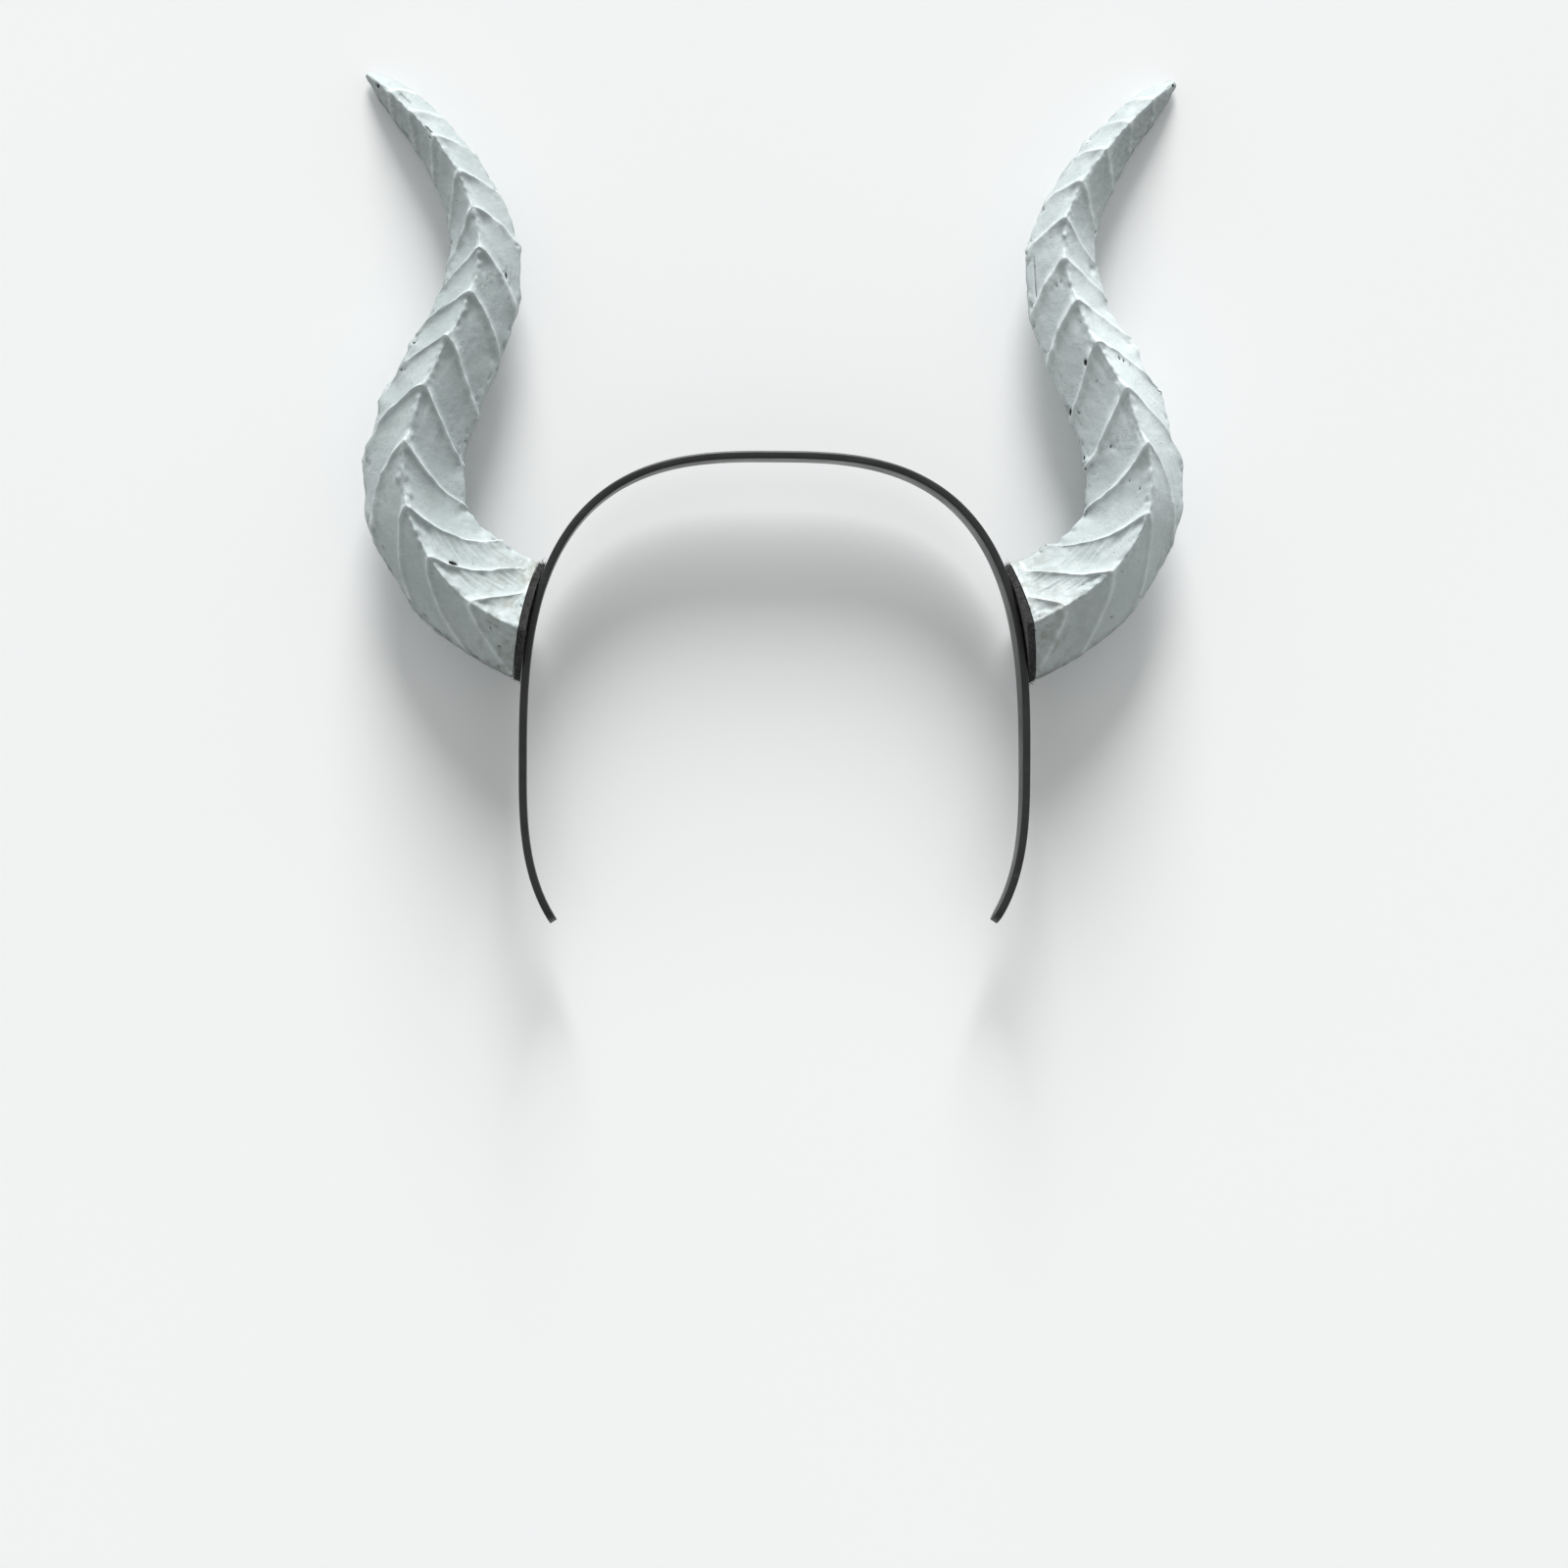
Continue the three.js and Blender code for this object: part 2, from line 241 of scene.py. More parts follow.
# Where the edges were trimmed by hand: how far out the edge stands, and over what reach
Cut = namedtuple("Cut", "along side height reach")
INNER = 1
OUTER = -1
CUT_POWER = 4
LEFT_CUTS = [
    Cut(33, INNER, 0.9, 3.5), Cut(50, INNER, -1.1, 2.5), Cut(63, INNER, 1.2, 8), Cut(110, INNER, -0.9, 2),
    Cut(127, INNER, 1.0, 4), Cut(42, OUTER, -0.6, 5), Cut(57, OUTER, 1.3, 3.5), Cut(84, OUTER, 0.9, 2),
    Cut(90, OUTER, -0.7, 2), Cut(102, OUTER, 0.9, 1.5), Cut(124, OUTER, -0.7, 3), Cut(167, OUTER, -0.6, 11),
]
RIGHT_CUTS = [
    Cut(33, INNER, -0.9, 2), Cut(41, INNER, -0.9, 5), Cut(50, INNER, -2.5, 4.5), Cut(75, INNER, 0.8, 2),
    Cut(125, INNER, 0.8, 6), Cut(142, INNER, 0.8, 6), Cut(174, INNER, 1.0, 2), Cut(182, INNER, -0.6, 3),
    Cut(59, OUTER, 1.5, 4.5), Cut(75, OUTER, -1.0, 2.5), Cut(92, OUTER, -1.3, 3.5), Cut(102, OUTER, 1.1, 2),
    Cut(120, OUTER, -1.7, 3), Cut(136, OUTER, -0.8, 2),
]

# Casting flaws on the front of each horn: where they lie (the side of the ridge, and the share of
# the way from ridge to edge), how wide and how deep they are (bumps below zero), how much shade is
# painted inside, and how far they run
Flaw = namedtuple("Flaw", "along side share radius depth dark run", defaults=(0,))
LEFT_FLAWS = [
    Flaw(34.4, INNER, 0.21, 1.1, 1.0, 1.0),
    Flaw(33.6, INNER, 0.27, 0.45, 0.3, 0.8),
    Flaw(30.9, INNER, 0.46, 0.4, 0.3, 0.5),
    Flaw(64.6, OUTER, 0.09, 1.2, -0.7, 0.0),
    Flaw(60.1, INNER, 0.05, 1.3, -0.6, 0.0),
    Flaw(95.8, OUTER, 0.96, 0.9, 0.7, 0.5),
    Flaw(102.5, OUTER, 1.00, 0.7, 0.8, 0.6),
    Flaw(81.5, INNER, 1.00, 0.8, 0.8, 0.5),
    Flaw(179.4, INNER, 0.04, 0.45, 0.4, 0.7, 3.5),
    Flaw(178.0, OUTER, 0.09, 0.4, 0.4, 0.8),
    Flaw(191.0, INNER, 0.36, 0.5, 0.35, 0.35, 4.0),
    Flaw(202.2, OUTER, 0.28, 0.6, 0.5, 0.8),
    Flaw(10.8, OUTER, 0.49, 0.7, 0.3, 0.5),
    Flaw(8.9, OUTER, 0.94, 0.9, 0.5, 0.5),
]
RIGHT_FLAWS = [
    Flaw(105.5, INNER, 0.30, 0.8, 1.0, 1.0),
    Flaw(93.9, INNER, 1.00, 0.9, 1.2, 1.0),
    Flaw(76.2, INNER, 1.00, 0.6, 0.9, 0.9),
    Flaw(72.2, INNER, 1.00, 0.5, 0.5, 0.7),
    Flaw(77.4, INNER, 0.46, 0.9, 0.35, 0.4),
    Flaw(79.2, INNER, 0.40, 0.5, 0.3, 0.4),
    Flaw(101.8, OUTER, 0.35, 0.35, 0.35, 0.6, 0.8),
    Flaw(100.8, OUTER, 0.42, 0.35, 0.35, 0.6, 0.6),
    Flaw(99.0, OUTER, 0.52, 0.3, 0.3, 0.5),
    Flaw(63.2, INNER, 0.17, 0.4, 0.3, 0.6),
    Flaw(65.5, INNER, 0.30, 0.4, 0.3, 0.6),
    Flaw(130.9, INNER, 0.21, 0.6, 0.35, 0.5),
    Flaw(129.7, INNER, 0.31, 0.5, 0.35, 0.5),
    Flaw(128.0, INNER, 0.84, 0.35, 0.3, 0.48, 10.0),
    Flaw(174.5, INNER, 1.00, 0.8, 0.8, 0.5, 4.0),
    Flaw(134.0, OUTER, 0.80, 1.6, 0.6, 0.3),
    Flaw(206.4, OUTER, 0.26, 0.5, 0.4, 0.9),
    Flaw(29.0, OUTER, 0.71, 0.45, 0.3, 0.6),
]
FLAW_STEEPNESS = 3
FLAW_RAGGEDNESS = 0.3
FLAW_SHADE_REACH = 2
SPOT_RANGE = 3

# Patches of each front where the cast is rough and pricked, and how far each reaches
Patch = namedtuple("Patch", "along side share reach")
LEFT_PATCHES = [
    Patch(94.0, OUTER, 0.76, 2.0), Patch(107.5, INNER, 0.24, 1.8), Patch(130.0, INNER, 0.24, 3.0),
    Patch(132.0, INNER, 0.68, 4.0), Patch(14.5, OUTER, 0.20, 4.0), Patch(9.0, INNER, 0.30, 4.0),
]
RIGHT_PATCHES = [
    Patch(77.5, INNER, 0.48, 2.5), Patch(65.5, INNER, 0.08, 1.8), Patch(60.5, INNER, 0.08, 2.0),
    Patch(131.5, INNER, 0.28, 2.4), Patch(113.0, INNER, 0.84, 1.8), Patch(99.5, INNER, 0.32, 2.2),
    Patch(91.5, INNER, 0.84, 2.0), Patch(7.5, INNER, 0.12, 4.5), Patch(9.0, OUTER, 0.15, 4.5),
]
PATCH_GRAIN = 1.1
PATCH_HEIGHT = 0.4
# Shade is painted into the dents of each patch, darker where they are deeper
PATCH_SHADE = 1.05

# Each horn also has a seed for its noise, how much light is painted onto its paint about the middle, how
# much lower its rings lie in the middle of the outer flank, and how much shade is painted on its tip's
# outer side
Horn = namedtuple("Horn", "node mirror seed apexes cuts flaws patches paleness outer_ease tip_soil")
HORNS = [
    Horn(
        node="horn_right", mirror=False, seed=11.0, apexes=RIGHT_APEXES, cuts=RIGHT_CUTS,
        flaws=RIGHT_FLAWS, patches=RIGHT_PATCHES, paleness=1.0, outer_ease=0.55, tip_soil=3.2,
    ),
    Horn(
        node="horn_left", mirror=True, seed=3.0, apexes=LEFT_APEXES, cuts=LEFT_CUTS,
        flaws=LEFT_FLAWS, patches=LEFT_PATCHES, paleness=0.0, outer_ease=0.0, tip_soil=2.3,
    ),
]

# Where the paint is worn, with a highlight painted along the lips; where shade is painted under the lips
# and on the outer side towards the tip; where it is grimy and stained; and where light is painted paler
WORN_HIGHLIGHT_REACH = 0.9
UNDER_LIP = 1.9
UNDER_LIP_REACH = 1.3
TIP_SHADE_REACH = 46
TIP_SHADE_START = 0.2
GRIME_SHARE = 0.05
GRIME_REACH = 38
STAIN_REACH = 14
PAINTED_LIGHT_MIDDLE = 100
PAINTED_LIGHT_REACH = 46

# Colours of the horns' paint, of what lies on it, and of the highlight, shade and light painted on it
PAINT_DEEP = (0.42, 0.48, 0.475, 1)
PAINT_LIGHT = (0.475, 0.525, 0.525, 1)
PAINT_DAUB = (0.56, 0.62, 0.62, 1)
PAINT_MOTTLE = (0.33, 0.385, 0.38, 1)
PAINT_STROKE = (0.60, 0.66, 0.66, 1)
PAINTED_LIGHT_COLOUR = (0.65, 0.715, 0.715, 1)
PAINT_GRIT = (0.26, 0.30, 0.295, 1)
PAINT_WORN_AND_HIGHLIGHT = (0.70, 0.76, 0.76, 1)
PAINTED_SHADE = (0.24, 0.275, 0.27, 1)
GRIME = (0.12, 0.13, 0.125, 1)
STAIN = (0.25, 0.25, 0.21, 1)
PINHOLE_SHADE = (0.09, 0.10, 0.10, 1)
HOLE_SHADE = (0.004, 0.004, 0.004, 1)

# Colours of the hoop, the pads and the floor
PLASTIC_DEEP = (0.010, 0.010, 0.011, 1)
PLASTIC_HAZE = (0.020, 0.020, 0.021, 1)
PLASTIC_SCUFF = (0.06, 0.06, 0.06, 1)
FELT_DEEP = (0.008, 0.008, 0.009, 1)
FELT_LIGHT = (0.035, 0.034, 0.034, 1)
FLOOR_COOL = (0.93, 0.935, 0.94, 1)
FLOOR_WARM = (0.96, 0.96, 0.96, 1)

# The camera looks down on the part, turned a little about a pivot between the horns, which shows
# above the middle of the picture
LENS = 90.1
SENSOR = 36.0
CAMERA_DISTANCE = 1200
CAMERA_ASIDE = 2.66
CAMERA_DOWN = 130.1
CAMERA_PIVOT_UP = 80
CAMERA_YAW = math.radians(3.11)
CAMERA_ROLL = math.radians(-0.11)

# A broad soft light from over the crown, and a weaker one from all round
KEY_ELEVATION = math.radians(20)
KEY_SPREAD = math.radians(25)
KEY_STRENGTH = 4.2
FILL_ABOVE = 0.6
FILL_BELOW = 0.37
FILL_COLOUR = (0.98, 1.0, 1.0, 1)
FLOOR_HALF_SIZE = 3.0


def column(name):
    """One column of the table of sections."""
    return np.array([getattr(section, name) for section in SECTIONS], float)


def stretch(along):
    """Which stretch between two sections each distance falls in."""
    found = np.searchsorted(column("along"), along, side="right") - 1
    return np.clip(found, 0, len(SECTIONS) - 2)


def section_value(name, along):
    """A size of the section at each distance, on a smooth curve through the table."""
    stations = column("along")
    values = column(name)
    slopes = np.gradient(values)
    slopes[1:-1] = (values[2:] - values[:-2]) / (stations[2:] - stations[:-2])
    slopes[0] = (values[1] - values[0]) / (stations[1] - stations[0])
    slopes[-1] = (values[-1] - values[-2]) / (stations[-1] - stations[-2])
    index = stretch(along)
    length = stations[index + 1] - stations[index]
    t = np.maximum(along - stations[index], 0) / length
    rest = 1 - t
    ends = values[index] * (1 + 2 * t) * rest**2 + values[index + 1] * (3 - 2 * t) * t**2
    return ends + (slopes[index] * t * rest**2 - slopes[index + 1] * t**2 * rest) * length


def centre_line(along):
    """Place and heading of the horn's centre line, one arc between each two sections."""
    stations = column("along")
    headings = np.radians(column("heading"))
    bends = np.diff(headings) / np.diff(stations)
    starts_x = HORN_ROOT[0] + np.append(0, np.cumsum(np.diff(np.sin(headings)) / bends))
    starts_y = HORN_ROOT[1] - np.append(0, np.cumsum(np.diff(np.cos(headings)) / bends))
    index = stretch(along)
    bend = bends[index]
    heading = headings[index] + bend * (along - stations[index])
    x = starts_x[index] + (np.sin(heading) - np.sin(headings[index])) / bend
    y = starts_y[index] - (np.cos(heading) - np.cos(headings[index])) / bend
    return x, y, heading


# Stops round a section: the front or the back, the inner or the outer side, and the share t of the
# way from the ridge to the edge
Stops = namedtuple("Stops", "face side t")


def stops_round():
    """One trip round a section: its front flanks, an edge, its back flanks and the other edge."""
    flank = np.linspace(0, 1, FLANK_STEPS + 1)
    across = np.linspace(1, -1, EDGE_STEPS + 1)[1:-1]
    face = []
    side = []
    t = []
    for turn in (1, -1):
        face += [turn] * (2 * FLANK_STEPS + 1) + list(turn * across)
        side += [turn] * FLANK_STEPS + [-turn] * (FLANK_STEPS + EDGE_STEPS)
        t += list(flank[::-1]) + list(flank[1:]) + [1.0] * len(across)
    return Stops(np.array(face, float), np.array(side, float), np.array(t))


def hump(t):
    """Nothing at both ends of a flank, and one in its middle."""
    return 4 * t * (1 - t)


def ridge_offset(horn, along):
    """How far a horn's ridge lies from the middle of the width at each distance."""
    return np.interp(along, [apex.along for apex in horn.apexes], [apex.ridge for apex in horn.apexes])


def wall(horn, stops, along, swell):
    """Points of the horn's wall, swollen out from the plain section."""
    x, y, heading = centre_line(along)
    half_width = section_value("width", along) / 2
    half_depth = section_value("depth", along) / 2
    ridge = ridge_offset(horn, along) / half_width
    bow = FLANK_BOW * hump(stops.t)
    sideways = ridge + (stops.side - ridge) * stops.t + stops.side * bow
    outwards = 1 + (EDGE_FLAT - 1) * stops.t + bow
    across = sideways * (half_width + swell)
    lean = HORN_TIP_LEAN * (np.maximum(along, 0) / HORN_LENGTH) ** HORN_LEAN_POWER
    lift = TIP_LIFT * np.clip((along - TIP_LIFT_START) / TIP_LIFT_RUN, 0, 1) * (stops.face > 0)
    z = stops.face * outwards * (half_depth * (1 + lift) + swell) - lean
    return np.stack((x - np.sin(heading) * across, y + np.cos(heading) * across, z), axis=-1)


def hoop_point(angle):
    """Where the hoop's middle line lies at each angle about its widest level."""
    across = np.abs(np.cos(angle)) / HOOP_HALF_SPAN
    up = np.abs(np.sin(angle)) / np.where(np.sin(angle) > 0, HOOP_RISE, HOOP_FALL)
    reach = (across**HOOP_POWER + up**HOOP_POWER) ** (-1 / HOOP_POWER)
    return np.stack((reach * np.cos(angle), HOOP_LEVEL + reach * np.sin(angle)), axis=-1)


def hoop_line(count):
    """The hoop's middle line from its right end to its left end: points, outward normals, lengths."""
    angles = np.linspace(HOOP_END_ANGLE, math.pi - HOOP_END_ANGLE, HOOP_FINENESS * count)
    fine = hoop_point(angles)
    run = np.append(0, np.cumsum(np.linalg.norm(np.diff(fine, axis=0), axis=1)))
    lengths = np.linspace(0, run[-1], count)
    points = np.stack([np.interp(lengths, run, fine[:, axis]) for axis in (0, 1)], axis=-1)
    tangent = np.gradient(points, axis=0)
    tangent /= np.linalg.norm(tangent, axis=1, keepdims=True)
    return points, np.stack((tangent[:, 1], -tangent[:, 0]), axis=-1), lengths


def hoop_side(clearance, y):
    """X of the hoop's right side, grown by a clearance, at each level."""
    points, normals, _ = hoop_line(HOOP_ROWS)
    grown = (points + normals * clearance)[: HOOP_ROWS // 2]
    return np.interp(y, grown[:, 1], grown[:, 0])


def foot_along(horn, stops, clearance):
    """How far along the horn's wall comes out of the hoop, grown by a clearance, at each stop."""
    along = FOOT_SEARCH[:, None] + np.zeros_like(stops.t)
    points = wall(horn, stops, along, 0)
    outside = points[..., 0] - hoop_side(clearance, points[..., 1])
    first = np.argmax(outside > 0, axis=0)
    place = np.arange(len(stops.t))
    before = outside[first - 1, place]
    share = -before / (outside[first, place] - before)
    return FOOT_SEARCH[first - 1] + share * (FOOT_SEARCH[1] - FOOT_SEARCH[0])


def foot_cap(rim, clearance):
    """Rows that close a horn's foot or a pad over the hoop's curve, from the middle out to the rim."""
    middle = rim.mean(axis=0)
    rows = []
    for share in np.linspace(0, 1, CAP_STEPS + 1)[1:-1]:
        row = middle + (rim - middle) * share
        row[:, 0] = hoop_side(clearance, row[:, 1])
        rows.append(row)
    return rows


def noise_at(points, grain, seed):
    """Smooth noise at each point, in lumps about one grain across."""
    flat = points.reshape(-1, 3) / grain + seed
    values = [noise.noise(Vector(point)) for point in flat]
    return np.array(values).reshape(points.shape[:-1])


def bell(distance, half_width):
    """One at no distance, and falling off smoothly over the half width."""
    return np.exp(-((distance / half_width) ** 2))


def flare(share):
    """How the wall swells from one ring's foot to the next lip."""
    return FLARE_EARLY * share + (1 - FLARE_EARLY) * share**FLARE_LATE_POWER


def bead(stops, from_crest):
    """The rounded bead along a lip's crest, which runs out before the edges."""
    return BEAD_SHARE * (1 - stops.t**BEAD_END_POWER) * bell(from_crest, BEAD_HALF_WIDTH)


# A row is how far along and how swollen each stop is, its carving stroke, how worn it is with the
# highlight painted along the lip, and how much shade is painted under the lip
Row = namedtuple("Row", "along swell stroke crest soil")
Lip = namedtuple("Lip", "foot crest height soil")


def lip_height(ring, stops, uneven):
    """How high a ring's lip stands at each stop."""
    inner_share = np.where(stops.side > 0, stops.t**2, 0)
    outer_fall = np.where(stops.side > 0, 0, 1 - (1 - stops.t) ** 2)
    height = ring.lip * (1 - INNER_LIP_LOSS * inner_share) + (ring.outer_lip - ring.lip) * outer_fall
    gain = 1 + FLANK_LIP_GAIN * (1 - stops.t**FLANK_LIP_POWER)
    return height * gain * (1 + LIP_UNEVEN * uneven)


def ring_lip(horn, number, stops, start):
    """A ring's lip at each stop: the next ring's foot, its crest, its height and how much shade is painted
    under it.
    """
    ring = RINGS[number]
    apex = horn.apexes[number].along
    inner = stops.side > 0
    sag = np.where(inner, ring.sag, 0) * stops.t * (1 - stops.t)
    blunt = np.hypot(stops.t, APEX_BLUNTNESS) - APEX_BLUNTNESS * (1 - stops.t)
    level = apex + (np.where(inner, ring.inner_end, ring.outer_end) - apex) * (blunt + sag)
    place = wall(horn, stops, level, 0)
    wander = noise_at(place, LIP_WANDER_GRAIN, horn.seed + number)
    uneven = noise_at(place, LIP_UNEVEN_GRAIN, horn.seed - number)
    outer_share = np.where(inner, 0, stops.t**2)
    crest = level + LIP_WANDER * wander - LIP_RUN - (ring.shoulder - LIP_RUN) * outer_share
    ease = np.where(inner, 1, 1 - horn.outer_ease * hump(stops.t))
    height = lip_height(ring, stops, uneven) * ease * np.clip((crest - start) / LIP_FADE, 0, 1)
    crest = np.maximum(crest, start + SHORTEST_RUN)
    flank = section_value("width", level) / 2
    drop = DROP_RUN + RIDGE_DROP_RUN * bell(stops.t * flank, SPINE_HALF_WIDTH)
    return Lip(crest + np.maximum(ring.shoulder * outer_share, drop), crest, height, ease)


def ridge_relief(stops, flank, share, below_lip):
    """A spine along the ridge, with a notch on its inner side under the next lip."""
    inwards = stops.side * stops.t * flank
    rise = min(share / SPINE_START, 1) * (1 - share**SPINE_END_POWER)
    spine = SPINE_HEIGHT * bell(inwards, SPINE_HALF_WIDTH) * rise
    notch = bell(inwards - NOTCH_INWARDS, NOTCH_HALF_WIDTH)
    notch = notch * bell(below_lip - NOTCH_BELOW_LIP, NOTCH_LENGTH)
    return spine - NOTCH_DEPTH * notch


def stroke_relief(stops, along, flank, share):
    """Carving strokes along the horn, on the inner side of a ring."""
    places = np.stack((along / STROKE_LENGTH, stops.t * flank / STROKE_WIDTH, stops.face), axis=-1)
    inside = np.where(stops.side > 0, np.sqrt(np.sin(math.pi * stops.t)), 0)
    return STROKE_HEIGHT * noise_at(places, 1, 0) * inside * math.sqrt(math.sin(math.pi * share))


def body_rows(stops, feet, lip, stroked):
    """Rows from the foot of a ring's wall up to its lip."""
    rows = []
    run = lip.crest - feet
    for step in np.linspace(0, 1, round(run.max() / BODY_STEP) + 1):
        share = 1 - (1 - step) ** LIP_CROWDING
        along = feet + run * share
        below_lip = run * (1 - share)
        flank = np.hypot(section_value("width", along), section_value("depth", along)) / 2
        swell = lip.height * (flare(share) + bead(stops, below_lip))
        swell = swell + ridge_relief(stops, flank, share, below_lip)
        stroke = stroke_relief(stops, along, flank, share) if stroked else 0 * along
        # Painted shade: a dark band just under each lip's crest
        soil = lip.soil * bell(below_lip - UNDER_LIP, UNDER_LIP_REACH)
        rows.append(Row(along, swell, stroke, bell(below_lip, WORN_HIGHLIGHT_REACH), soil))
    return rows


def drop_rows(stops, lip):
    """Rows over a lip and down to the foot of the next wall."""
    rows = []
    for share in np.linspace(0, 1, LIP_STEPS + 1)[1:-1]:
        past_crest = (lip.foot - lip.crest) * share
        along = lip.crest + past_crest
        swell = lip.height * (bell(share, DROP_HALF_SHARE) + bead(stops, past_crest))
        rows.append(Row(along, swell, 0 * along, bell(past_crest, WORN_HIGHLIGHT_REACH), 0 * along))
    return rows


def horn_rows(horn, stops):
    """Every row of the horn from its foot to its tip."""
    rows = []
    feet = foot_along(horn, stops, FOOT_CLEARANCE)
    for number in range(len(RINGS)):
        lip = ring_lip(horn, number, stops, feet)
        rows += body_rows(stops, feet, lip, number in STROKE_RINGS)
        rows += drop_rows(stops, lip)
        feet = lip.foot
    for share in np.linspace(0, 1, TIP_STEPS + 1):
        along = feet + (HORN_LENGTH - feet) * share
        rows.append(Row(along, 0 * along, 0 * along, 0 * along, 0 * along))
    return rows


def rounded(points, radius):
    """Softens the corners of each row, by letting each point drift towards its neighbours."""
    steps = np.linalg.norm(np.diff(points, axis=1, append=points[:, :1]), axis=2)
    reach = radius / steps.mean(axis=1)
    turns = np.fft.fftfreq(points.shape[1])
    kept = np.exp(-2 * (math.pi * turns * reach[:, None]) ** 2)
    return np.fft.ifft(np.fft.fft(points, axis=1) * kept[..., None], axis=1).real


def outward(points):
    """Unit normals of a grid of rows."""
    along = np.gradient(points, axis=0)
    around = np.roll(points, -1, axis=1) - np.roll(points, 1, axis=1)
    normals = np.cross(around, along)
    return normals / np.maximum(np.linalg.norm(normals, axis=2, keepdims=True), SHORTEST_NORMAL)


def tip_dome(last):
    """Rows that round off the horn's end."""
    middle = last.mean(axis=0)
    _, _, heading = centre_line(np.array([float(HORN_LENGTH)]))
    ahead = np.array((math.cos(heading[0]), math.sin(heading[0]), 0))
    rows = []
    for turn in TIP_DOME_TURNS:
        rows.append(middle + (last - middle) * math.cos(turn) + ahead * TIP_DOME * math.sin(turn))
    return rows


def from_spot(horn, spot, points, run=0):
    """How far each point lies from a flaw or a patch, which may run along the horn."""
    stop = Stops(1.0, float(spot.side), spot.share)
    start = wall(horn, stop, np.float64(spot.along), 0)
    end = wall(horn, stop, np.float64(spot.along + run), 0)
    nearest = np.unravel_index(np.linalg.norm(points - start, axis=2).argmin(), points.shape[:2])
    start, end = points[nearest], end + points[nearest] - start
    length = max(np.linalg.norm(end - start), SHORTEST_RUN)
    share = np.clip((points - start) @ (end - start) / length**2, 0, 1)
    return np.linalg.norm(points - start - share[..., None] * (end - start), axis=2)


def add_flaws(horn, points, normals):
    """Sinks pits into the wall or raises bumps on it, and returns the shade to be painted in the pits."""
    dark = np.zeros(points.shape[:2])
    for flaw in horn.flaws:
        distance = from_spot(horn, flaw, points, flaw.run)
        close = distance < SPOT_RANGE * flaw.radius
        ragged = 1 + FLAW_RAGGEDNESS * noise_at(points[close], flaw.radius, horn.seed)
        reach = distance[close] * ragged / flaw.radius
        points[close] -= normals[close] * (flaw.depth * np.exp(-(reach**FLAW_STEEPNESS)))[:, None]
        dark[close] = np.maximum(dark[close], flaw.dark * (1 - reach / FLAW_SHADE_REACH))
    return dark


def add_patches(horn, points, normals):
    """Roughens patches of the wall, and returns the shade to be painted in their dents."""
    dark = np.zeros(points.shape[:2])
    for patch in horn.patches:
        distance = from_spot(horn, patch, points)
        close = distance < SPOT_RANGE * patch.reach
        rough = noise_at(points[close], PATCH_GRAIN, horn.seed) * bell(distance[close], patch.reach)
        points[close] += normals[close] * PATCH_HEIGHT * rough[:, None]
        dark[close] = np.maximum(dark[close], -PATCH_SHADE * rough)
    return dark


def edge_cuts(horn, stops, along):
    """How far out the horn's edges stand where they were trimmed by hand."""
    out = 0 * along
    for cut in horn.cuts:
        edge = np.where(stops.side == cut.side, stops.t**CUT_POWER, 0)
        out += cut.height * edge * bell(along - cut.along, cut.reach)
    return out


def surface_relief(horn, stops, points):
    """The unevenness of a horn's wall: lumps all over, rougher on its edges and ridges, and a seam."""
    relief = sum(height * noise_at(points, grain, horn.seed) for grain, height in LUMPS)
    edge = noise_at(points, EDGE_LUMP_GRAIN, horn.seed)
    ridge = noise_at(points, RIDGE_LUMP_GRAIN, horn.seed)
    chips = CHIP_DEPTH * np.maximum(noise_at(points, CHIP_GRAIN, horn.seed) - CHIP_LEVEL, 0)
    relief += stops.t**EDGE_LUMP_POWER * (EDGE_LUMP_HEIGHT * edge - chips)
    relief += RIDGE_LUMP_HEIGHT * bell(stops.t, RIDGE_LUMP_SHARE) * ridge
    return relief + SEAM_HEIGHT * seam(stops) * (1 + edge)


def seam(stops):
    """The mould's parting line, along the middle of each edge."""
    return (stops.t == 1) * bell(stops.face, SEAM_HALF_WIDTH)


def tip_soil(horn, stops, along):
    """How much shade is painted on each point of the outer side, most of all at the tip."""
    outer = np.where(stops.side < 0, 1 - bell(stops.t, TIP_SHADE_START), 0)
    return horn.tip_soil * outer * bell(along - HORN_LENGTH, TIP_SHADE_REACH)


def edge_grime(stops, along):
    """How grimy each point is: on the outer edge near the foot and the tip, and all along the seam."""
    edge = np.where(stops.side < 0, bell(1 - stops.t, GRIME_SHARE), 0)
    ends = bell(along - along[0], GRIME_REACH) + bell(along - HORN_LENGTH, GRIME_REACH)
    return np.maximum(edge * ends, seam(stops))


def horn_masks(horn, stops, rows, dark):
    """How worn (with a painted highlight), stained and grimy the paint is at each point, and the shade and
    light painted on it.
    """
    along = np.stack([row.along for row in rows])
    return {
        # Worn paint and a painted highlight along the lips' crests
        "crest": np.stack([row.crest for row in rows]),
        # Painted shade under the lips and on the outer side towards the tip
        "soil": np.stack([row.soil for row in rows]) + tip_soil(horn, stops, along),
        "stain": bell(along - along[0], STAIN_REACH),
        # Painted light: paler paint about the middle of the right horn
        "pale": horn.paleness * bell(along - PAINTED_LIGHT_MIDDLE, PAINTED_LIGHT_REACH),
        # Painted shade in the hollows of flaws and patches
        "hole": dark,
        "grime": edge_grime(stops, along),
    }


